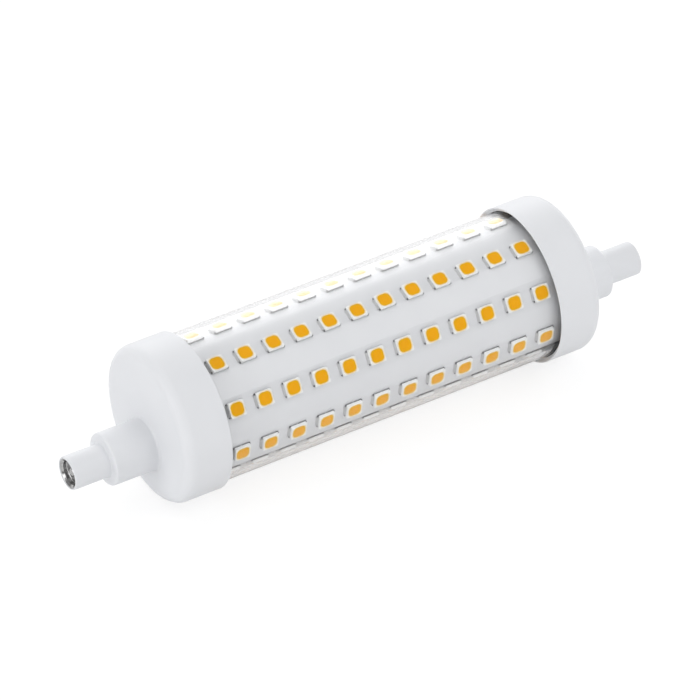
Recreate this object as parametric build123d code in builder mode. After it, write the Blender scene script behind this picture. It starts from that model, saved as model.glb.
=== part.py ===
from build123d import *
import os
from math import cos, radians, sin, sqrt

# A double-ended linear LED bulb, lying along X with its tube axis on the X axis.
# Sizes are in millimetres and degrees. Angles about X run from +Y towards +Z.

# Overall
overall_length = 117.6          # neck tip to neck tip

# Cover tube
tube_diameter = 27.5
tube_wall = 0.9
tube_end_play = 0.2             # between the tube's end and the cap's floor

# End caps
cap_depth = 8.9                 # mouth to end face
cap_end_wall = 1.6
cap_skirt_wall = 0.8
cap_edge_radius = 2.2           # cut as two flats
cap_lead_in = 0.6               # chamfer inside the mouth
glue_gap = 0.1                  # between the tube and the skirt

# Stubs on the caps
stub_drop = 3.7                 # stub axis below the tube axis
boss_length = 8.7
boss_diameter = 9.7
boss_edge_chamfer = 0.4
neck_length = 7.2
neck_diameter = 6.2
neck_wall = 0.62                # round the contact
neck_edge_chamfer = 0.2

# Contacts
contact_recess = 1.25           # neck tip to contact seat
contact_length = 2.4
contact_wall = 0.15
contact_lip_set = 0.1           # lip behind the neck tip
contact_gap = 0.03              # between the contact and the neck

# LED board, a sheet rolled into a sleeve
board_thickness = 0.6
board_seam = 0.8
board_insertion = 3.0           # past each cap's mouth

# LED packages
led_rows = 9
led_pitch = 5.71
led_array_shift = 0.5           # the array sits off centre, clear of the solder pads
first_row_angle = 29.5
seam_place = 6.5                # row pitches from the first row to the seam
led_length = 3.1
led_width = 2.8
led_height = 0.75
led_clearance = 0.1             # between the packages' corners and the tube
window_end_wall = 0.3
window_side_wall = 0.225
cup_depth = 0.45
cup_taper = 18
phosphor_set = 0.03             # phosphor surface below the housing's top
solder_gap = 0.02               # package above the board

# Ribs and rails inside the caps
rib_angles = (30, 150, 270)
rib_thickness = 1.2
rib_height = 2.6
rib_engagement = 1.6            # inside the rolled board
rib_fit = 0.12
rail_length = 5.0
rail_lip = 0.8
rail_web = 1.0
rail_fit = 0.1
rail_clearance = 0.3            # between a rail and the rolled board

# Driver board and its parts
driver_thickness = 1.2
driver_end_play = 0.3
wire_diameter = 1.2
wire_clearance = 0.3
wire_overlap = 5.0              # wire lying on the driver board
part_gap = 2.0                  # along the driver board
beside_gap = 0.3                # across the driver board
seat_gap = 0.05                 # parts above the driver board
can_lead_size = 0.6
link_pin_size = 0.64
link_pin_pitch = 2.54
first_link_pin_y = -2.2

# Box-shaped parts: length, width and height
fuse_size = (8.4, 4.3, 7.6)
fuse_y = 4.5
chip_resistor_size = (2.0, 1.25, 0.55)
chip_resistor_pitch = 2.6

# Round cans: diameter, length and lead spacing
input_can_size = (8.0, 12.0, 3.5)
output_can_size = (6.3, 11.0, 2.5)

# Flat packages: length, width and height, then the width, reach and thickness of a pin
bridge_size = (4.8, 4.0, 1.6)
bridge_pin_size = (0.7, 1.0, 0.25)
bridge_pin_pitch = 2.5
bridge_y = -3.5
chip_size = (4.9, 3.9, 1.5)
chip_pin_size = (0.42, 1.05, 0.2)
chip_pin_pitch = 1.27
diode_size = (2.6, 4.3, 2.1)
diode_pin_size = (1.4, 0.6, 0.3)

# Inductor
core_leg = 1.6
core_middle_leg = 3.0
core_window = 2.2
core_window_height = 4.4
core_depth = 5.0
winding_gap = 0.1

# Places along the bulb
neck_tip_x = overall_length / 2
boss_front_x = neck_tip_x - neck_length
cap_face_x = boss_front_x - boss_length
cap_floor_x = cap_face_x - cap_end_wall
cap_mouth_x = cap_face_x - cap_depth
tube_end_x = cap_floor_x - tube_end_play
board_end_x = cap_mouth_x + board_insertion
rib_tip_x = board_end_x - rib_engagement
rib_stop_x = board_end_x + rib_fit
contact_seat_x = neck_tip_x - contact_recess
contact_back_x = neck_tip_x - contact_length
driver_end_x = cap_floor_x - driver_end_play

# Radii, about the tube axis and the stub axis
tube_radius = tube_diameter / 2
skirt_bore_radius = tube_radius + glue_gap
cap_radius = skirt_bore_radius + cap_skirt_wall
cap_edge_step = cap_edge_radius * (1 - cos(radians(45)))
boss_radius = boss_diameter / 2
neck_radius = neck_diameter / 2
contact_pocket_radius = neck_radius - neck_wall
contact_radius = contact_pocket_radius - contact_gap
led_corner_radius = tube_radius - tube_wall - led_clearance
led_seat_radius = sqrt(led_corner_radius ** 2 - (led_width / 2) ** 2) - led_height
board_radius = led_seat_radius - solder_gap
roll_bore_radius = board_radius - board_thickness

# As many packages in a row as show between the caps
leds_per_row = int((2 * cap_mouth_x - led_length) / led_pitch) + 1
window_length = led_length - 2 * window_end_wall
window_width = led_width - 2 * window_side_wall

# Heights of the driver board, which lies just under the lead wires
driver_top_z = -stub_drop - wire_diameter / 2
driver_bottom_z = driver_top_z - driver_thickness
rail_low_z = driver_bottom_z - rail_fit - rail_lip
rail_high_z = driver_top_z + rail_fit + rail_lip
rail_outer_y = sqrt((roll_bore_radius - rail_clearance) ** 2 - rail_low_z ** 2)
driver_half_width = rail_outer_y - rail_web - rail_fit
rail_inner_y = driver_half_width - rail_web

# The inductor's outside
core_length = 2 * core_leg + 2 * core_window + core_middle_leg
core_height = 2 * core_leg + core_window_height
core_middle_z = driver_top_z + seat_gap + core_height / 2

# Parts stand in a line on the driver board, left to right: fuse, can, inductor, chip, can, link pins
line_lengths = (
    fuse_size[0],
    can_lead_size + input_can_size[1],
    core_length,
    chip_size[0],
    can_lead_size + output_can_size[1],
    link_pin_size,
)
line_start_x = part_gap + wire_overlap - driver_end_x
fuse_x, input_can_x, inductor_x, chip_x, output_can_x, link_pin_x = (
    line_start_x + sum(line_lengths[:place]) + place * part_gap + line_lengths[place] / 2
    for place in range(len(line_lengths))
)

# The chip and the diode stand either side of the chip resistors
chip_y = -(chip_resistor_size[1] / 2 + beside_gap + chip_pin_size[1] + chip_size[1] / 2)
diode_y = chip_resistor_size[1] / 2 + beside_gap + diode_pin_size[1] + diode_size[1] / 2

# The stub's axis, and the plane of its profile: local x is +X, local y the radius
stub_axis = Axis((0, 0, -stub_drop), (1, 0, 0))
stub_profile_plane = Plane(origin=(0, 0, -stub_drop), x_dir=(1, 0, 0), z_dir=(0, -1, 0))
os.makedirs("parts", exist_ok=True)


def save(piece, name):
    """Label a finished piece and write it as its own file."""
    piece.part.label = name
    export_step(piece.part, f"parts/{name}.step")


def stub_plane(x):
    """Workplane across the stub's axis at x: local x is +Y, local y is +Z."""
    return Plane(origin=(x, 0, -stub_drop), x_dir=(0, 1, 0), z_dir=(1, 0, 0))


def radial_plane(angle):
    """Workplane through the tube axis: local x is +X, local y points out at the angle."""
    return Plane(origin=(0, 0, 0), x_dir=(1, 0, 0), z_dir=(0, -sin(radians(angle)), cos(radians(angle))))


def row_plane(row):
    """Workplane on the rolled board under one row of packages: local x is +X."""
    angle = radians(first_row_angle + row * 360 / led_rows)
    outward = Vector(0, cos(angle), sin(angle))
    middle = Vector(led_array_shift, 0, 0) + outward * led_seat_radius
    return Plane(origin=middle, x_dir=(1, 0, 0), z_dir=outward)


# Cover tube
with BuildPart() as cover_tube:
    with BuildSketch(Plane.YZ):
        Circle(tube_radius)
        Circle(tube_radius - tube_wall, mode=Mode.SUBTRACT)
    extrude(amount=tube_end_x, both=True)
save(cover_tube, "cover_tube")

# Right end cap: skirt and end wall, then the stub, then what holds the boards inside
with BuildPart() as right_end_cap:
    with BuildSketch(Plane.XZ):
        with BuildLine():
            Polyline(
                (cap_mouth_x + cap_lead_in, skirt_bore_radius),
                (cap_mouth_x, skirt_bore_radius + cap_lead_in),
                (cap_mouth_x, cap_radius),
                (cap_face_x - cap_edge_radius, cap_radius),
                (cap_face_x - cap_edge_step, cap_radius - cap_edge_step),
                (cap_face_x, cap_radius - cap_edge_radius),
                (cap_face_x, 0),
                (cap_floor_x, 0),
                (cap_floor_x, skirt_bore_radius),
                close=True,
            )
        make_face()
    revolve(axis=Axis.X)
    with BuildSketch(stub_profile_plane):
        with BuildLine():
            Polyline(
                (cap_face_x - cap_end_wall / 2, 0),
                (cap_face_x - cap_end_wall / 2, boss_radius),
                (boss_front_x, boss_radius),
                (boss_front_x, neck_radius),
                (neck_tip_x, neck_radius),
                (neck_tip_x, 0),
                close=True,
            )
        make_face()
        chamfer(vertices().sort_by_distance((boss_front_x, boss_radius))[0], boss_edge_chamfer)
        chamfer(vertices().sort_by_distance((neck_tip_x, neck_radius))[0], neck_edge_chamfer)
    revolve(axis=stub_axis)
    with BuildSketch(stub_plane(neck_tip_x)):
        Circle(contact_pocket_radius)
    extrude(amount=-contact_length, mode=Mode.SUBTRACT)
    with BuildSketch(stub_plane(neck_tip_x)):
        Circle(wire_diameter / 2 + wire_clearance)
    extrude(amount=cap_floor_x - neck_tip_x, mode=Mode.SUBTRACT)
    for rib_angle in rib_angles:
        with BuildSketch(radial_plane(rib_angle)):
            with BuildLine():
                Polyline(
                    (cap_floor_x, roll_bore_radius - rib_height),
                    (rib_tip_x, roll_bore_radius - rib_height),
                    (rib_tip_x, roll_bore_radius - rib_fit),
                    (rib_stop_x, roll_bore_radius - rib_fit),
                    (rib_stop_x, board_radius),
                    (cap_floor_x, board_radius),
                    close=True,
                )
            make_face()
        extrude(amount=rib_thickness / 2, both=True)
    with BuildSketch(Plane.YZ.offset(cap_floor_x)):
        for side in (-1, 1):
            with Locations((side * (rail_inner_y + rail_outer_y) / 2, (rail_low_z + rail_high_z) / 2)):
                Rectangle(rail_outer_y - rail_inner_y, rail_high_z - rail_low_z)
        with Locations((0, (driver_bottom_z + driver_top_z) / 2)):
            Rectangle(2 * (driver_half_width + rail_fit), driver_thickness + 2 * rail_fit, mode=Mode.SUBTRACT)
    extrude(amount=-rail_length)

# The left end has the same moulding
with BuildPart() as end_caps:
    add(right_end_cap.part)
    mirror(right_end_cap.part, about=Plane.YZ)
save(end_caps, "end_caps")

# Right contact: a turned cup, pressed into the neck's tip
with BuildPart() as right_contact:
    cup_radius = contact_radius - contact_wall
    lip_x = neck_tip_x - contact_lip_set
    with BuildSketch(stub_profile_plane):
        with BuildLine():
            Polyline(
                (contact_seat_x, 0),
                (contact_back_x, 0),
                (contact_back_x, contact_radius),
                (lip_x, contact_radius),
                (lip_x, cup_radius),
                (contact_seat_x, cup_radius),
                close=True,
            )
        make_face()
    revolve(axis=stub_axis)

with BuildPart() as end_contacts:
    add(right_contact.part)
    mirror(right_contact.part, about=Plane.YZ)
save(end_contacts, "end_contacts")

# LED board, open along its seam
with BuildPart() as led_board:
    with BuildSketch(Plane.YZ):
        Circle(board_radius)
        Circle(roll_bore_radius, mode=Mode.SUBTRACT)
        with PolarLocations(board_radius, 1, start_angle=first_row_angle + seam_place * 360 / led_rows):
            Rectangle(4 * board_thickness, board_seam, mode=Mode.SUBTRACT)
    extrude(amount=board_end_x, both=True)
save(led_board, "led_board")

# One LED package, standing on XY: the inside of its cup, the housing round it, the phosphor in it
package_top = Plane.XY.offset(led_height)
with BuildPart() as cup:
    with BuildSketch(package_top):
        Rectangle(window_length, window_width)
    extrude(amount=-cup_depth)
    draft(faces().filter_by(Axis.Z, reverse=True), neutral_plane=package_top, angle=-cup_taper)

with BuildPart() as housing:
    Box(led_length, led_width, led_height, align=(Align.CENTER, Align.CENTER, Align.MIN))
    add(cup.part, mode=Mode.SUBTRACT)

with BuildPart() as filling:
    add(cup.part)
    split(bisect_by=package_top.offset(-phosphor_set), keep=Keep.BOTTOM)

# LED packages, a row at a time
for row in range(led_rows):
    with BuildPart(row_plane(row)) as row_housings:
        with GridLocations(led_pitch, led_pitch, leds_per_row, 1):
            add(housing.part)
    save(row_housings, f"led_row_{row + 1}_housings")
    with BuildPart(row_plane(row)) as row_phosphor:
        with GridLocations(led_pitch, led_pitch, leds_per_row, 1):
            add(filling.part)
    save(row_phosphor, f"led_row_{row + 1}_phosphor")

# Driver board, held at both ends in the caps' rails
with BuildPart() as driver_board:
    with BuildSketch(Plane.XY.offset(driver_bottom_z)):
        Rectangle(2 * driver_end_x, 2 * driver_half_width)
    extrude(amount=driver_thickness)
save(driver_board, "driver_board")


def lying_can(name, size, place_x):
    """A round can lying along X on the driver board, with two leads bent down at its left end."""
    diameter, length, lead_spacing = size
    lead_drop = seat_gap + diameter / 2
    axis_z = driver_top_z + lead_drop
    can_end_x = place_x - (length - can_lead_size) / 2
    with BuildPart() as can:
        with BuildSketch(Plane(origin=(can_end_x, 0, axis_z), x_dir=(0, 1, 0), z_dir=(1, 0, 0))):
            Circle(diameter / 2)
        extrude(amount=length)
        with Locations((can_end_x, 0, driver_top_z)):
            with GridLocations(lead_spacing, lead_spacing, 1, 2):
                Box(can_lead_size, can_lead_size, lead_drop, align=(Align.MAX, Align.CENTER, Align.MIN))
    save(can, name)


def flat_package(name, size, place, pins_a_side, pin_pitch, pin_size):
    """A flat moulded part with pins along two of its sides."""
    x, y = place
    width = size[1]
    pin_reach = pin_size[1]
    with BuildPart() as package:
        with Locations((x, y, driver_top_z + seat_gap)):
            Box(*size, align=(Align.CENTER, Align.CENTER, Align.MIN))
        for side in (-1, 1):
            with Locations((x, y + side * (width + pin_reach) / 2, driver_top_z)):
                with GridLocations(pin_pitch, pin_pitch, pins_a_side, 1):
                    Box(*pin_size, align=(Align.CENTER, Align.CENTER, Align.MIN))
    save(package, name)


lying_can("input_capacitor", input_can_size, input_can_x)
lying_can("output_capacitor", output_can_size, output_can_x)
flat_package("bridge_rectifier", bridge_size, (fuse_x, bridge_y), 2, bridge_pin_pitch, bridge_pin_size)
flat_package("driver_chip", chip_size, (chip_x, chip_y), 4, chip_pin_pitch, chip_pin_size)
flat_package("diode", diode_size, (chip_x, diode_y), 1, diode_size[0], diode_pin_size)

# Fuse, a block with its legs hidden under it
with BuildPart() as fuse:
    with Locations((fuse_x, fuse_y, driver_top_z + seat_gap)):
        Box(*fuse_size, align=(Align.CENTER, Align.CENTER, Align.MIN))
save(fuse, "fuse")

# Chip resistors, side by side
with BuildPart() as chip_resistors:
    with Locations((chip_x, 0, driver_top_z)):
        with GridLocations(chip_resistor_pitch, chip_resistor_pitch, 2, 1):
            Box(*chip_resistor_size, align=(Align.CENTER, Align.CENTER, Align.MIN))
save(chip_resistors, "chip_resistors")

# Inductor: a core of two yokes and three legs, with the winding round the middle leg
with BuildPart() as inductor_core:
    with BuildSketch(Plane(origin=(inductor_x, 0, core_middle_z), x_dir=(1, 0, 0), z_dir=(0, -1, 0))):
        Rectangle(core_length, core_height)
        with GridLocations(core_middle_leg + core_window, core_height, 2, 1):
            Rectangle(core_window, core_window_height, mode=Mode.SUBTRACT)
    extrude(amount=core_depth / 2, both=True)
save(inductor_core, "inductor_core")

with BuildPart() as inductor_winding:
    winding_depth = core_window - 2 * winding_gap
    with BuildSketch(Plane.XY.offset(core_middle_z)):
        with Locations((inductor_x, 0)):
            Rectangle(
                core_middle_leg + 2 * (winding_gap + winding_depth),
                core_depth + 2 * (winding_gap + winding_depth),
            )
            Rectangle(core_middle_leg + 2 * winding_gap, core_depth + 2 * winding_gap, mode=Mode.SUBTRACT)
    extrude(amount=core_window_height / 2 - winding_gap, both=True)
save(inductor_winding, "inductor_winding")

# Lead wires, straight from the back of each contact onto the driver board
with BuildPart() as right_lead_wire:
    with BuildSketch(stub_plane(contact_back_x)):
        Circle(wire_diameter / 2)
    extrude(amount=driver_end_x - wire_overlap - contact_back_x)
save(right_lead_wire, "right_lead_wire")

with BuildPart() as left_lead_wire:
    mirror(right_lead_wire.part, about=Plane.YZ)
save(left_lead_wire, "left_lead_wire")

# Link pins from the driver board down to the LED board
with BuildPart() as link_pins:
    for pin in range(2):
        pin_y = first_link_pin_y - pin * link_pin_pitch
        pin_end_y = abs(pin_y) + link_pin_size / 2
        pin_length = driver_bottom_z + sqrt(roll_bore_radius ** 2 - pin_end_y ** 2) - seat_gap
        with Locations((link_pin_x, pin_y, driver_bottom_z)):
            Box(link_pin_size, link_pin_size, pin_length, align=(Align.CENTER, Align.CENTER, Align.MAX))
save(link_pins, "link_pins")
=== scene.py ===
from math import atan2, cos, pi, radians, sin

import bmesh
import bpy
from mathutils import Matrix, Vector


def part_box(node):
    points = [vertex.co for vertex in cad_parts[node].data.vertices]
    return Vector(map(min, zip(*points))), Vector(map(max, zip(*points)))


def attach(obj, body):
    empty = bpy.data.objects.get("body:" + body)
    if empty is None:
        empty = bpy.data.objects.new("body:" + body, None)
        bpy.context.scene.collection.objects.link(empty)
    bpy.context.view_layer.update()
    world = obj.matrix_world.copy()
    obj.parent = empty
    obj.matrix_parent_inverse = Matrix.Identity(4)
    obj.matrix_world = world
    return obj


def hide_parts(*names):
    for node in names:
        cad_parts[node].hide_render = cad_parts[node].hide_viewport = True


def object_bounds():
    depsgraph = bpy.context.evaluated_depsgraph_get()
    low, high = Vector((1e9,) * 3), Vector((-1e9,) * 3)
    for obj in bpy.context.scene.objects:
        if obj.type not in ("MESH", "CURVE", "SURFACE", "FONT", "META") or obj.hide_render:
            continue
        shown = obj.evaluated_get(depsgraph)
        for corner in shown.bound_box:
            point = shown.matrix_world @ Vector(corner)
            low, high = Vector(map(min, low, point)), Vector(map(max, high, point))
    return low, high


# A double-ended linear LED bulb, dressed around its solids.
# Sizes here are in millimetres, and MM turns them into metres.
MM = 0.001

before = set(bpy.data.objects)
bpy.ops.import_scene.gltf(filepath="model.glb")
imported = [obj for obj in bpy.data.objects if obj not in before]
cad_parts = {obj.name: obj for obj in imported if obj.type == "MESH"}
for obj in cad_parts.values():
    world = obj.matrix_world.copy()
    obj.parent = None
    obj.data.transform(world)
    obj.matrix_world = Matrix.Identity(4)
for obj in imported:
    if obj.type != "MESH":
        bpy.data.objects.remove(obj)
cad_low, cad_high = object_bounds()


def size_of(node):
    """Lowest and highest corner of a node, in millimetres."""
    low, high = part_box(node)
    return low / MM, high / MM


# Places read from the solids
caps_low, caps_high = size_of("end_caps")
_, tube_high = size_of("cover_tube")
_, board_high = size_of("led_board")
contacts_low, contacts_high = size_of("end_contacts")
driver_low, driver_high = size_of("driver_board")
neck_tip_x = caps_high.x
cap_radius = min(caps_high.y, caps_high.z, -caps_low.z)
tube_end_x = tube_high.x
tube_radius = tube_high.z
board_end_x = board_high.x
board_radius = board_high.z
contact_lip_x = contacts_high.x
contact_radius = contacts_high.y
stub_z = (contacts_low.z + contacts_high.z) / 2

# Sizes of the end caps, as in the solids
neck_length = 7.2
neck_radius = 3.1
boss_length = 8.7
boss_radius = 4.85
cap_depth = 8.9
cap_end_wall = 1.6
cap_lead_in = 0.6
glue_gap = 0.1
contact_gap = 0.03
wire_bore_radius = 0.9
boss_front_x = neck_tip_x - neck_length
cap_face_x = boss_front_x - boss_length
cap_floor_x = cap_face_x - cap_end_wall
cap_mouth_x = cap_face_x - cap_depth
skirt_bore_radius = tube_radius + glue_gap

# Rounded edges and corners of the end caps
cap_edge_round = 2.2
mouth_round = 0.08
floor_round = 0.4
boss_root_round = 0.5
boss_edge_round = 0.45
neck_root_round = 0.3
neck_edge_round = 0.22
pocket_edge_round = 0.06

# Ribs and rails inside the end caps
rib_angles = (30, 150, 270)
rib_thickness = 1.2
rib_height = 2.6
rib_engagement = 1.6
rib_fit = 0.12
rail_length = 5.0
rail_lip = 0.8
rail_web = 1.0
rail_fit = 0.1

# Contacts: a cup with a flared mouth and a riveted floor
contact_depth = 2.3
contact_recess = 1.25
contact_wall = 0.15
cup_corner_round = 0.25
flare_reach = 0.3
flare_depth = 0.4
flare_angle = 40
contact_back_x = contact_lip_x - contact_depth
rivet_radius = 0.8
rivet_height = 0.5
rivet_round = 0.3
rivet_foot = 0.1
rivet_dimple = 0.12

# Cover tube and rolled board
tube_wall = 0.9
tube_edge_round = 0.12
board_thickness = 0.6
board_seam = 0.8
board_seam_angle = 289.5

# LED packages
led_rows = 9
led_pitch = 5.71
led_length = 3.1
led_width = 2.8
led_height = 0.75
body_foot = 0.2                # moulded body above its metal frame
body_round = 0.16
body_edge = 0.05
window_end_wall = 0.3
window_side_wall = 0.225
window_round = 0.8
rim_width = 0.17               # warm edge round the window
lip_width = 0.02
lip_depth = 0.03
cup_floor = 0.3
cup_slope = 0.14
window_bands = (4, 5, 6)       # rim, lip and slope, between a body's rings
fill_gap = 0.01
fill_dish = 0.03
fill_dish_shares = (0.8, 0.5, 0.2)
edge_bands = (1,)              # outermost top of a filling, between its rings
frame_inset = 0.14
frame_split = 0.35
frame_round = 0.05
frame_end_reach = 0.16         # cut ends of the frame, at the corners
frame_end_width = 0.24
frame_end_height = 0.26
frame_end_offset = 1.2
solder_overlap = 0.1           # solder hidden in the body's end
solder_shelf = 0.04
solder_reach = 0.38
solder_width = 2.0
solder_climb = 0.4
solder_sink = 0.02
solder_fall = ((0.12, 0.7), (0.24, 0.35))      # reach, and the share of the climb left there

# Smoothness of the pieces
turn_steps = 192
tube_steps = 576
arc_steps = 8
corner_steps = 6
wall_steps = 2
sharp_angle = radians(40)
hold_span = 0.3
hold_reach = 0.03


# Turned pieces

def arc(x, radius, bend, start, end):
    """Points (x, radius) of an arc in a turning profile, its angles in degrees from +X outwards."""
    points = []
    for step in range(arc_steps + 1):
        angle = radians(start + (end - start) * step / arc_steps)
        points.append((x + bend * cos(angle), radius + bend * sin(angle)))
    return points


def about(points, height):
    """Rings of a profile turned about an axis along X at this height: (x, radius, height)."""
    return [(x, radius, height) for x, radius in points]


def between(first, last, count):
    """Rings spread evenly between two rings, which may have different axes."""
    rings = []
    for step in range(1, count + 1):
        share = step / (count + 1)
        rings.append(tuple(a + (b - a) * share for a, b in zip(first, last)))
    return rings


def held(rings, loop):
    """The rings, and one more near each end of a long step, so that only short steps bend the shading."""
    steps = list(zip(rings, rings[1:] + rings[:1]))
    if not loop:
        steps.pop()
    close = []
    for first, last in steps:
        close.append(first)
        span = Vector(last[:2]) - Vector(first[:2])
        if span.length > hold_span:
            share = hold_reach / span.length
            close.append(tuple(a + (b - a) * share for a, b in zip(first, last)))
            close.append(tuple(b + (a - b) * share for a, b in zip(first, last)))
    if not loop:
        close.append(rings[-1])
    return close


def turned(bm, rings, side, loop, steps=turn_steps):
    """Add a surface through the rings to bm, closed into a loop or by flat ends."""
    rings = held(rings, loop)
    circles = []
    for x, radius, height in rings:
        circle = []
        for step in range(steps):
            angle = 2 * pi * step / steps
            point = (side * x, radius * cos(angle), height + radius * sin(angle))
            circle.append(bm.verts.new(Vector(point) * MM))
        circles.append(circle)
    pairs = list(zip(circles, circles[1:]))
    if loop:
        pairs.append((circles[-1], circles[0]))
    else:
        bm.faces.new(circles[0])
        bm.faces.new(circles[-1])
    for one, other in pairs:
        for step in range(steps):
            after = (step + 1) % steps
            bm.faces.new((one[step], one[after], other[after], other[step]))


def prism(bm, outline, depth):
    """Add a solid to bm: a flat outline pushed along depth, both in millimetres."""
    near = [bm.verts.new(point * MM) for point in outline]
    far = [bm.verts.new((point + depth) * MM) for point in outline]
    bm.faces.new(near)
    bm.faces.new(far)
    for step in range(len(near)):
        after = (step + 1) % len(near)
        bm.faces.new((near[step], near[after], far[after], far[step]))


def piece_from(bm, name, nodes, materials):
    """Finish a mesh as a piece of the object that stands for these nodes."""
    bmesh.ops.recalc_face_normals(bm, faces=bm.faces)
    mesh = bpy.data.meshes.new(name)
    bm.to_mesh(mesh)
    bm.free()
    mesh.shade_smooth()
    mesh.set_sharp_from_angle(angle=sharp_angle)
    piece = bpy.data.objects.new(name, mesh)
    bpy.context.scene.collection.objects.link(piece)
    for material in materials:
        mesh.materials.append(material)
    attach(piece, "root")
    if nodes:
        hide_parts(*nodes)
    return piece


def end_cap(name, side, materials):
    """Skirt, end wall, boss and neck in one moulding, with ribs and rails for the boards inside."""
    pocket_radius = contact_radius + contact_gap
    flare_radius = pocket_radius + flare_reach
    flare_x = contact_lip_x - contact_wall / 2 - contact_gap
    skirt = (
        arc(cap_floor_x - floor_round, skirt_bore_radius - floor_round, floor_round, 0, 90)
        + [(cap_mouth_x + cap_lead_in, skirt_bore_radius), (cap_mouth_x, skirt_bore_radius + cap_lead_in)]
        + arc(cap_mouth_x + mouth_round, cap_radius - mouth_round, mouth_round, 180, 90)
        + arc(cap_face_x - cap_edge_round, cap_radius - cap_edge_round, cap_edge_round, 90, 0)
    )
    stub = (
        arc(cap_face_x + boss_root_round, boss_radius + boss_root_round, boss_root_round, 180, 270)
        + arc(boss_front_x - boss_edge_round, boss_radius - boss_edge_round, boss_edge_round, 90, 0)
        + arc(boss_front_x + neck_root_round, neck_radius + neck_root_round, neck_root_round, 180, 270)
        + arc(neck_tip_x - neck_edge_round, neck_radius - neck_edge_round, neck_edge_round, 90, 0)
        + arc(neck_tip_x - pocket_edge_round, flare_radius + pocket_edge_round, pocket_edge_round, 0, -90)
        + [(flare_x, flare_radius), (flare_x - flare_depth - contact_gap, pocket_radius)]
        + [(contact_back_x, pocket_radius), (contact_back_x, wire_bore_radius)]
        + [(cap_floor_x, wire_bore_radius)]
    )
    skirt_rings = about(skirt, 0)
    stub_rings = about(stub, stub_z)
    face_rings = between(skirt_rings[-1], stub_rings[0], wall_steps)
    floor_rings = between(stub_rings[-1], skirt_rings[0], wall_steps)
    bm = bmesh.new()
    turned(bm, skirt_rings + face_rings + stub_rings + floor_rings, side, loop=True)
    # The skirt's bore and the floor take the second material, a dark painted shade for the shadowed inside
    # of the cap.
    for face in bm.faces:
        middle = face.calc_center_median() / MM
        in_bore = Vector((middle.y, middle.z)).length < skirt_bore_radius + glue_gap
        if in_bore and cap_mouth_x + cap_lead_in < abs(middle.x) < cap_floor_x + glue_gap:
            face.material_index = 1
    for angle in rib_angles:
        rib(bm, radians(angle), side)
    for hand in (-1, 1):
        rail(bm, hand, side)
    piece_from(bm, name, ["end_caps"], materials)


def rib(bm, angle, side):
    """A stepped rib on the cap's floor that holds the end of the rolled board."""
    bore = board_radius - board_thickness
    tip_x = board_end_x - rib_engagement
    stop_x = board_end_x + rib_fit
    steps = (
        (cap_floor_x, bore - rib_height),
        (tip_x, bore - rib_height),
        (tip_x, bore - rib_fit),
        (stop_x, bore - rib_fit),
        (stop_x, board_radius),
        (cap_floor_x, board_radius),
    )
    outward = Vector((0, cos(angle), sin(angle)))
    across = Vector((0, -sin(angle), cos(angle))) * rib_thickness
    outline = [Vector((side * x, 0, 0)) + outward * radius - across / 2 for x, radius in steps]
    prism(bm, outline, across)


def rail(bm, hand, side):
    """A slotted rail on the cap's floor that holds one edge of the driver board."""
    slot_y = driver_high.y + rail_fit
    slot_low = driver_low.z - rail_fit
    slot_high = driver_high.z + rail_fit
    inner_y = driver_high.y - rail_web
    outer_y = slot_y + rail_web
    section = (
        (inner_y, slot_low - rail_lip),
        (outer_y, slot_low - rail_lip),
        (outer_y, slot_high + rail_lip),
        (inner_y, slot_high + rail_lip),
        (inner_y, slot_high),
        (slot_y, slot_high),
        (slot_y, slot_low),
        (inner_y, slot_low),
    )
    outline = [Vector((side * cap_floor_x, hand * y, z)) for y, z in section]
    prism(bm, outline, Vector((-side * rail_length, 0, 0)))


def contact(name, side, material):
    """A turned cup in the neck's tip, with a flared mouth and a rivet in its floor."""
    lip = contact_wall / 2
    cup_radius = contact_radius - contact_wall
    mouth_radius = contact_radius + flare_reach
    seat_x = neck_tip_x - contact_recess
    profile = (
        [(contact_back_x, lip), (contact_back_x, contact_radius - lip)]
        + [(contact_back_x + lip, contact_radius), (contact_lip_x - lip - flare_depth, contact_radius)]
        + arc(contact_lip_x - lip, mouth_radius - lip, lip, 90 + flare_angle, flare_angle - 90)
        + [(contact_lip_x - flare_depth, cup_radius)]
        + arc(seat_x + cup_corner_round, cup_radius - cup_corner_round, cup_corner_round, 90, 180)
        + arc(seat_x + rivet_foot, rivet_radius + rivet_foot, rivet_foot, 180, 270)
        + arc(seat_x + rivet_height - rivet_round, rivet_radius - rivet_round, rivet_round, 90, 0)
        + [(seat_x + rivet_height - rivet_dimple, lip)]
    )
    bm = bmesh.new()
    turned(bm, about(profile, stub_z), side, loop=False)
    piece_from(bm, name, ["end_contacts"], [material])


def cover_tube(material):
    """A clear tube with softened ends. Light reaches what is inside it unhindered."""
    bore = tube_radius - tube_wall
    edge = tube_edge_round
    end = tube_end_x - edge
    profile = (
        arc(end, tube_radius - edge, edge, 90, 0)
        + arc(end, bore + edge, edge, 0, -90)
        + arc(-end, bore + edge, edge, -90, -180)
        + arc(-end, tube_radius - edge, edge, 180, 90)
    )
    bm = bmesh.new()
    turned(bm, about(profile, 0), 1, loop=True, steps=tube_steps)
    tube = piece_from(bm, "clear_cover_tube", ["cover_tube"], [material])
    tube.visible_shadow = False
    tube.visible_diffuse = False


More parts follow.
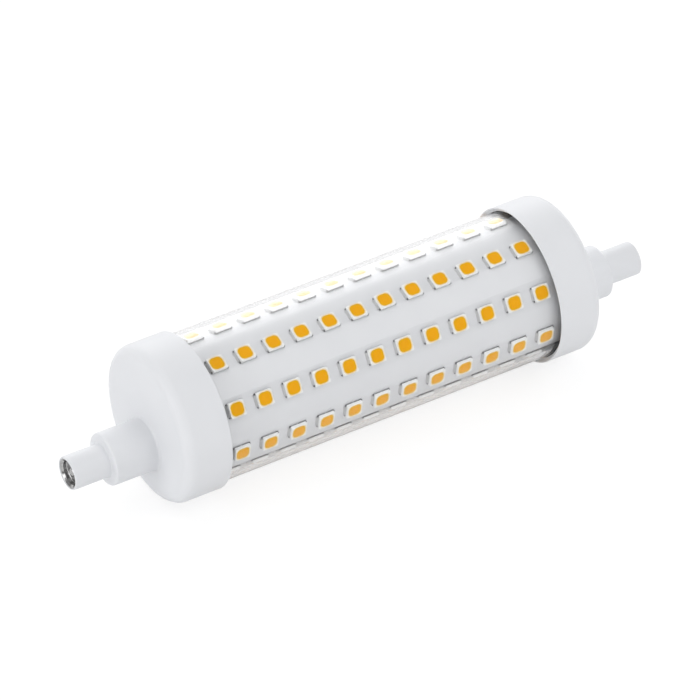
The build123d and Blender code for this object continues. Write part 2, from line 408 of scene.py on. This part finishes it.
def rolled_board(material):
    """A sheet rolled into a sleeve, open along its seam."""
    half_seam = board_seam / board_radius / 2
    start = radians(board_seam_angle) + half_seam
    sweep = 2 * pi - 2 * half_seam
    bm = bmesh.new()
    ends = []
    for x in (-board_end_x, board_end_x):
        outer = []
        inner = []
        for step in range(turn_steps + 1):
            angle = start + sweep * step / turn_steps
            outward = Vector((0, cos(angle), sin(angle)))
            along = Vector((x, 0, 0))
            outer.append(bm.verts.new((along + outward * board_radius) * MM))
            inner.append(bm.verts.new((along + outward * (board_radius - board_thickness)) * MM))
        ends.append(outer + inner[::-1])
    left, right = ends
    count = len(left)
    for step in range(count):
        after = (step + 1) % count
        bm.faces.new((left[step], left[after], right[after], right[step]))
    for section in ends:
        for step in range(turn_steps):
            across = count - 1 - step
            bm.faces.new((section[step], section[step + 1], section[across - 1], section[across]))
    piece_from(bm, "rolled_led_board", ["led_board"], [material])


# LED packages

def rounded(length, width, corner, height):
    """A rounded rectangle of points at one height, about the package's middle."""
    points = []
    for quarter, (sign_x, sign_y) in enumerate(((1, 1), (-1, 1), (-1, -1), (1, -1))):
        for step in range(corner_steps + 1):
            angle = pi / 2 * (quarter + step / corner_steps)
            x = sign_x * (length / 2 - corner) + corner * cos(angle)
            y = sign_y * (width / 2 - corner) + corner * sin(angle)
            points.append(Vector((x, y, height)))
    return points


def stacked(bm, place, rings, second=()):
    """Add a closed stack of rings to bm at a place. The bands in second take the second material."""
    layers = [[bm.verts.new(place @ point * MM) for point in ring] for ring in rings]
    bm.faces.new(layers[0])
    bm.faces.new(layers[-1])
    for band, (one, other) in enumerate(zip(layers, layers[1:])):
        for step in range(len(one)):
            after = (step + 1) % len(one)
            face = bm.faces.new((one[step], one[after], other[after], other[step]))
            face.material_index = 1 if band in second else 0


def row_places(row):
    """Where the packages of one row stand: X along the tube, Z outwards, in millimetres."""
    low, high = size_of(f"led_row_{row}_housings")
    angle = atan2(low.z + high.z, low.y + high.y)
    seat_radius = Vector((low.y + high.y, low.z + high.z)).length / 2 - led_height / 2
    turn = Matrix.Rotation(angle - pi / 2, 4, "X")
    count = round((high.x - low.x - led_length) / led_pitch) + 1
    for index in range(count):
        x = low.x + led_length / 2 + index * led_pitch
        yield turn @ Matrix.Translation((x, 0, seat_radius))


def package_bodies(row, materials):
    """White moulded bodies with a round-cornered window that slopes into a cup."""
    window = (led_length - 2 * window_end_wall, led_width - 2 * window_side_wall)
    rings = [
        rounded(led_length - body_edge, led_width - body_edge, body_round, body_foot),
        rounded(led_length, led_width, body_round, body_foot + body_edge),
        rounded(led_length - body_edge / 2, led_width - body_edge / 2, body_round, led_height - body_edge),
        rounded(led_length - body_edge * 2, led_width - body_edge * 2, body_round, led_height),
        rounded(window[0] + 2 * rim_width, window[1] + 2 * rim_width, window_round + rim_width, led_height),
        rounded(window[0], window[1], window_round, led_height),
        rounded(window[0] - 2 * lip_width, window[1] - 2 * lip_width, window_round, led_height - lip_depth),
        rounded(window[0] - 2 * cup_slope, window[1] - 2 * cup_slope, window_round - lip_width, cup_floor),
    ]
    bm = bmesh.new()
    for place in row_places(row):
        stacked(bm, place, rings, second=window_bands)
    piece_from(bm, f"led_row_{row}_bodies", [f"led_row_{row}_housings"], materials)


def package_phosphor(row, materials):
    """The filled cups: a shallow dish of phosphor in each window."""
    wide = led_length - 2 * window_end_wall - 2 * lip_width
    high = led_width - 2 * window_side_wall - 2 * lip_width
    top = led_height - lip_depth
    deep = cup_slope - lip_width
    rings = [
        rounded(wide - 2 * deep, high - 2 * deep, window_round - lip_width, cup_floor + lip_depth),
        rounded(wide - 2 * fill_gap, high - 2 * fill_gap, window_round, top - fill_gap),
    ]
    for share in fill_dish_shares:
        dish = top - fill_dish * (1 - share ** 2)
        rings.append(rounded(wide * share, high * share, window_round * share, dish))
    bm = bmesh.new()
    for place in row_places(row):
        stacked(bm, place, rings, second=edge_bands)
    piece_from(bm, f"led_row_{row}_fill", [f"led_row_{row}_phosphor"], materials)


def package_terminals(row, materials):
    """Metal frames under the bodies, their cut ends at the corners and the solder at both ends."""
    frame_length = (led_length - frame_split) / 2 - frame_inset
    frame_width = led_width - 2 * frame_inset
    end_x = led_length / 2
    solder_profile = [
        (end_x - solder_overlap, 0.0),
        (end_x - solder_overlap, solder_climb),
        (end_x + solder_shelf, solder_climb),
        *((end_x + reach, solder_climb * share) for reach, share in solder_fall),
        (end_x + solder_reach, 0.0),
    ]
    frame_rings = [rounded(frame_length, frame_width, frame_round, z) for z in (0, body_foot)]
    frame_end_length = 2 * frame_end_reach
    end_rings = [rounded(frame_end_length, frame_end_width, frame_round, z) for z in (0, frame_end_height)]
    bm = bmesh.new()
    for place in row_places(row):
        for end in (-1, 1):
            middle = end * (frame_split + frame_length) / 2
            # Frames and their cut ends take the first material, a dark painted shade for the gap under the
            # body and its corners.
            stacked(bm, place @ Matrix.Translation((middle, 0, 0)), frame_rings)
            for hand in (-1, 1):
                corner = place @ Matrix.Translation((end * end_x, hand * frame_end_offset, 0))
                stacked(bm, corner, end_rings)
            first = len(bm.faces)
            outline = [
                place @ Vector((end * x, -solder_width / 2, z - solder_sink))
                for x, z in solder_profile
            ]
            across = (place @ Vector((0, solder_width, 0))) - (place @ Vector((0, 0, 0)))
            prism(bm, outline, across)
            bm.faces.ensure_lookup_table()
            for face in bm.faces[first:]:
                face.material_index = 1
    piece_from(bm, f"led_row_{row}_terminals", [], materials)


# Materials
noise_detail = 3.0
mottle_span = (0.35, 0.65)
driver_relief_ratio = 4
driver_relief_strength = 0.15
driver_relief_depth = 0.02


def new_material(name, colour, roughness):
    """A material with one shader, which the finishes build on."""
    material = bpy.data.materials.new(name)
    material.use_nodes = True
    shader = material.node_tree.nodes["Principled BSDF"]
    shader.inputs["Base Color"].default_value = (*colour, 1)
    shader.inputs["Roughness"].default_value = roughness
    return material, shader


def noise(material, scale):
    """A noise texture in the object's own space, whose grains are 1 / scale metres wide."""
    nodes = material.node_tree.nodes
    coordinates = nodes.new("ShaderNodeTexCoord")
    texture = nodes.new("ShaderNodeTexNoise")
    texture.inputs["Scale"].default_value = scale
    texture.inputs["Detail"].default_value = noise_detail
    material.node_tree.links.new(coordinates.outputs["Object"], texture.inputs["Vector"])
    return texture


def mottle(material, shader, low, high, scale):
    """Let the base colour drift between two close tones."""
    texture = noise(material, scale)
    ramp = material.node_tree.nodes.new("ShaderNodeValToRGB")
    for element, position, tone in zip(ramp.color_ramp.elements, mottle_span, (low, high)):
        element.position = position
        element.color = (*tone, 1)
    material.node_tree.links.new(texture.outputs["Fac"], ramp.inputs["Fac"])
    material.node_tree.links.new(ramp.outputs["Color"], shader.inputs["Base Color"])


def grain(material, shader, scale, strength, depth):
    """A fine relief, depth in millimetres."""
    texture = noise(material, scale)
    bump = material.node_tree.nodes.new("ShaderNodeBump")
    bump.inputs["Strength"].default_value = strength
    bump.inputs["Distance"].default_value = depth * MM
    material.node_tree.links.new(texture.outputs["Fac"], bump.inputs["Height"])
    material.node_tree.links.new(bump.outputs["Normal"], shader.inputs["Normal"])


def finish(name, low, high, scale, roughness, metallic=0.0, specular=0.5, relief=None):
    """A material that drifts between two tones, and may have a relief: its scale, strength and depth."""
    material, shader = new_material(name, low, roughness)
    shader.inputs["Metallic"].default_value = metallic
    shader.inputs["Specular IOR Level"].default_value = specular
    mottle(material, shader, low, high, scale)
    if relief:
        grain(material, shader, **relief)
    return material


def driver_finish(name, low, high, scale, roughness, metallic=0.0):
    """A finish for a part of the driver, with a light relief."""
    relief = {
        "scale": scale * driver_relief_ratio,
        "strength": driver_relief_strength,
        "depth": driver_relief_depth,
    }
    return finish(name, low, high, scale, roughness, metallic, relief=relief)


def clear_plastic():
    """Clear tube wall, tinted grey as a painted shade over everything seen through it."""
    material, shader = new_material("clear_plastic", (0.88, 0.885, 0.89), roughness=0.0)
    shader.inputs["Transmission Weight"].default_value = 1.0
    shader.inputs["IOR"].default_value = 1.3
    return material


# Caps: cool white moulded plastic with a trace of mould texture, and a dark grey painted shade on their
# inside
moulded_white = finish(
    "moulded_white", (0.735, 0.746, 0.77), (0.748, 0.758, 0.782), scale=120, roughness=0.5,
    specular=0.35, relief={"scale": 2500, "strength": 0.06, "depth": 0.02},
)
# Painted shade: near black, standing in for the shade deep inside the cap.
cap_inside_painted_shade = finish(
    "cap_inside_painted_shade", (0.028, 0.028, 0.03), (0.042, 0.042, 0.044), scale=700, roughness=0.6,
    relief={"scale": 1200, "strength": 0.2, "depth": 0.03},
)

# Contacts: nickel plate
nickel = finish(
    "nickel", (0.34, 0.34, 0.34), (0.46, 0.46, 0.46), scale=1800, roughness=0.18, metallic=1.0,
    relief={"scale": 6000, "strength": 0.15, "depth": 0.01},
)

# Rolled board: white solder mask
board_mask = finish(
    "board_mask", (0.793, 0.8, 0.82), (0.808, 0.814, 0.832), scale=260, roughness=0.5,
    relief={"scale": 4000, "strength": 0.08, "depth": 0.01},
)

# Packages: white bodies, their windows warmed by the phosphor, the phosphor itself, frames darkened as
# painted shade under the bodies, and solder
package_white = finish("package_white", (0.95, 0.95, 0.94), (0.97, 0.97, 0.96), scale=900, roughness=0.4)
package_lip = finish("package_lip", (0.96, 0.78, 0.46), (0.98, 0.83, 0.55), scale=1500, roughness=0.4)
phosphor_relief = {"scale": 9000, "strength": 0.1, "depth": 0.01}
phosphor = finish(
    "phosphor", (0.97, 0.43, 0.0), (0.99, 0.45, 0.0), scale=1300, roughness=0.5,
    specular=0.05, relief=phosphor_relief,
)
phosphor_edge = finish(
    "phosphor_edge", (0.86, 0.46, 0.002), (0.89, 0.47, 0.004), scale=1300, roughness=0.5,
    specular=0.05, relief=phosphor_relief,
)
# Far darker than bare metal: painted shade for the shadowed gap under each body and the dark spots at its
# corners.
frame_painted_shade = finish(
    "frame_painted_shade", (0.15, 0.15, 0.155), (0.21, 0.21, 0.215), scale=3000, roughness=0.5, metallic=0.4,
)
solder = finish(
    "solder", (0.57, 0.57, 0.58), (0.67, 0.67, 0.67), scale=3500, roughness=0.45, metallic=0.2,
    relief={"scale": 5000, "strength": 0.2, "depth": 0.02},
)

# The driver inside the rolled board
black_mould = driver_finish(
    "black_mould", (0.012, 0.012, 0.013), (0.03, 0.03, 0.032),
    scale=900, roughness=0.5,
)
can_sleeve = driver_finish(
    "can_sleeve", (0.015, 0.016, 0.02), (0.03, 0.03, 0.036),
    scale=400, roughness=0.3,
)
wire_sleeve = driver_finish(
    "wire_sleeve", (0.78, 0.77, 0.75), (0.84, 0.83, 0.81),
    scale=700, roughness=0.5,
)
driver_mask = driver_finish(
    "driver_mask", (0.03, 0.16, 0.07), (0.045, 0.21, 0.09),
    scale=300, roughness=0.35,
)
fuse_block = driver_finish(
    "fuse_block", (0.16, 0.07, 0.03), (0.2, 0.09, 0.04),
    scale=600, roughness=0.45,
)
ferrite = driver_finish(
    "ferrite", (0.05, 0.05, 0.052), (0.08, 0.08, 0.082),
    scale=1500, roughness=0.6,
)
copper = driver_finish(
    "copper", (0.6, 0.26, 0.1), (0.72, 0.34, 0.15),
    scale=2500, roughness=0.3, metallic=1.0,
)
tinned_pin = driver_finish(
    "tinned_pin", (0.6, 0.6, 0.58), (0.7, 0.7, 0.68),
    scale=1500, roughness=0.3, metallic=1.0,
)

# The pieces
for side_name, side in (("left", -1), ("right", 1)):
    end_cap(f"{side_name}_end_cap", side, [moulded_white, cap_inside_painted_shade])
    contact(f"{side_name}_contact", side, nickel)
cover_tube(clear_plastic())
rolled_board(board_mask)
for row in range(1, led_rows + 1):
    package_bodies(row, [package_white, package_lip])
    package_phosphor(row, [phosphor, phosphor_edge])
    package_terminals(row, [frame_painted_shade, solder])

# Solids that keep their own form
solid_finishes = {
    "driver_board": driver_mask,
    "fuse": fuse_block,
    "bridge_rectifier": black_mould,
    "driver_chip": black_mould,
    "diode": black_mould,
    "chip_resistors": black_mould,
    "input_capacitor": can_sleeve,
    "output_capacitor": can_sleeve,
    "inductor_core": ferrite,
    "inductor_winding": copper,
    "left_lead_wire": wire_sleeve,
    "right_lead_wire": wire_sleeve,
    "link_pins": tinned_pin,
}
for node, material in solid_finishes.items():
    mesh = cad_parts[node].data
    mesh.materials.clear()
    mesh.materials.append(material)


# Stage: a white floor that keeps a soft shadow, a dim surround with a glow, and large soft lamps
floor_span = 6000
floor_bounce = 0.9
floor_shade = 0.3
floor_white = 0.76
mirrored_shade = 0.9
mirrored_white = 0.15
fill_strength = 0.38
glow_direction = (0.4, 0.915, 0.05)
glow_edge = 0.55
glow_strength = 2.2


def seen_directly(tree, path):
    """1 for rays that show a surface to the camera, straight or by way of metal and glass."""
    seen = path.outputs["Is Camera Ray"]
    for ray in ("Is Glossy Ray", "Is Transmission Ray"):
        larger = tree.nodes.new("ShaderNodeMath")
        larger.operation = "MAXIMUM"
        tree.links.new(seen, larger.inputs[0])
        tree.links.new(path.outputs[ray], larger.inputs[1])
        seen = larger.outputs[0]
    return seen


def by_ray(tree, ray, seen, mirrored):
    """A value for rays straight from the camera, and another for the rest."""
    choice = tree.nodes.new("ShaderNodeMapRange")
    choice.inputs["To Min"].default_value = mirrored
    choice.inputs["To Max"].default_value = seen
    tree.links.new(ray, choice.inputs["Value"])
    return choice.outputs["Result"]


def floor_material():
    """White, with part of its brightness its own where it is looked at, so that its shadow is faint."""
    material = bpy.data.materials.new("studio_floor")
    material.use_nodes = True
    tree = material.node_tree
    tree.nodes.clear()
    path = tree.nodes.new("ShaderNodeLightPath")
    bounce = tree.nodes.new("ShaderNodeBsdfDiffuse")
    bounce.inputs["Color"].default_value = (floor_bounce, floor_bounce, floor_bounce, 1)
    shade = tree.nodes.new("ShaderNodeBsdfDiffuse")
    own = tree.nodes.new("ShaderNodeEmission")
    both = tree.nodes.new("ShaderNodeAddShader")
    mix = tree.nodes.new("ShaderNodeMixShader")
    out = tree.nodes.new("ShaderNodeOutputMaterial")
    camera_ray = path.outputs["Is Camera Ray"]
    tree.links.new(by_ray(tree, camera_ray, floor_shade, mirrored_shade), shade.inputs["Color"])
    tree.links.new(by_ray(tree, camera_ray, floor_white, mirrored_white), own.inputs["Strength"])
    tree.links.new(shade.outputs[0], both.inputs[0])
    tree.links.new(own.outputs[0], both.inputs[1])
    tree.links.new(seen_directly(tree, path), mix.inputs[0])
    tree.links.new(bounce.outputs[0], mix.inputs[1])
    tree.links.new(both.outputs[0], mix.inputs[2])
    tree.links.new(mix.outputs[0], out.inputs["Surface"])
    return material


def make_floor():
    """A plain floor just under the object."""
    half = floor_span / 2 * MM
    level = cad_low.z
    mesh = bpy.data.meshes.new("floor")
    corners = [(-half, -half, level), (half, -half, level), (half, half, level), (-half, half, level)]
    mesh.from_pydata(corners, [], [(0, 1, 2, 3)])
    mesh.materials.append(floor_material())
    floor = bpy.data.objects.new("floor", mesh)
    bpy.context.scene.collection.objects.link(floor)


def make_world():
    """A dim even surround with a soft glow behind the object, low down on its right."""
    world = bpy.data.worlds.new("studio")
    bpy.context.scene.world = world
    world.use_nodes = True
    tree = world.node_tree
    background = tree.nodes["Background"]
    background.inputs["Color"].default_value = (1, 1, 1, 1)
    coordinates = tree.nodes.new("ShaderNodeTexCoord")
    facing = tree.nodes.new("ShaderNodeVectorMath")
    facing.operation = "DOT_PRODUCT"
    facing.inputs[1].default_value = Vector(glow_direction).normalized()
    glow = tree.nodes.new("ShaderNodeMapRange")
    glow.interpolation_type = "SMOOTHSTEP"
    glow.inputs["From Min"].default_value = glow_edge
    glow.inputs["From Max"].default_value = 1.0
    glow.inputs["To Min"].default_value = fill_strength
    glow.inputs["To Max"].default_value = glow_strength
    tree.links.new(coordinates.outputs["Generated"], facing.inputs[0])
    tree.links.new(facing.outputs["Value"], glow.inputs["Value"])
    tree.links.new(glow.outputs["Result"], background.inputs["Strength"])


def softbox(name, place, width, height, radiance):
    """A large soft lamp aimed at the object. Its radiance is 1 where it would look white."""
    light = bpy.data.lights.new(name, "AREA")
    light.shape = "RECTANGLE"
    light.size = width * MM
    light.size_y = height * MM
    light.energy = radiance * pi * light.size * light.size_y
    lamp = bpy.data.objects.new(name, light)
    lamp.location = Vector(place) * MM
    lamp.rotation_euler = lamp.location.to_track_quat("Z", "Y").to_euler()
    bpy.context.scene.collection.objects.link(lamp)


make_floor()
make_world()
softbox("left_softbox", (-1740, -60, 320), width=1500, height=1300, radiance=2.6)
softbox("key_softbox", (-150, -1150, 1350), width=1600, height=1600, radiance=0.4)
softbox("top_softbox", (-220, 400, 1740), width=1500, height=1500, radiance=1.0)
softbox("front_softbox", (60, -1770, 330), width=1200, height=900, radiance=1.45)
softbox("right_softbox", (1530, -720, 600), width=1100, height=1100, radiance=0.9)
softbox("streak_softbox", (740, -830, 1410), width=1000, height=1000, radiance=1.5)
softbox("back_softbox", (742, 1494, 675), width=420, height=1480, radiance=1.1)

# Camera: the photograph's place, read from the object's outline in it
camera_azimuth = -31.632
camera_elevation = 38.23
camera_distance = 1182.95
camera_lens = 344.15
camera_aim = Vector((-1.183, -0.028, -0.133))
camera_sensor = 36
camera_clip = (0.05, 20)       # in metres


def make_camera():
    """A long lens, level, at the photograph's angle."""
    turn = radians(camera_azimuth)
    tilt = radians(camera_elevation)
    back = Vector((sin(turn) * cos(tilt), -cos(turn) * cos(tilt), sin(tilt)))
    data = bpy.data.cameras.new("camera")
    data.lens = camera_lens
    data.sensor_width = camera_sensor
    data.clip_start, data.clip_end = camera_clip
    camera = bpy.data.objects.new("camera", data)
    camera.location = (camera_aim + back * camera_distance) * MM
    camera.rotation_euler = back.to_track_quat("Z", "Y").to_euler()
    bpy.context.scene.collection.objects.link(camera)
    bpy.context.scene.camera = camera


make_camera()
bpy.context.scene.view_settings.view_transform = "Standard"
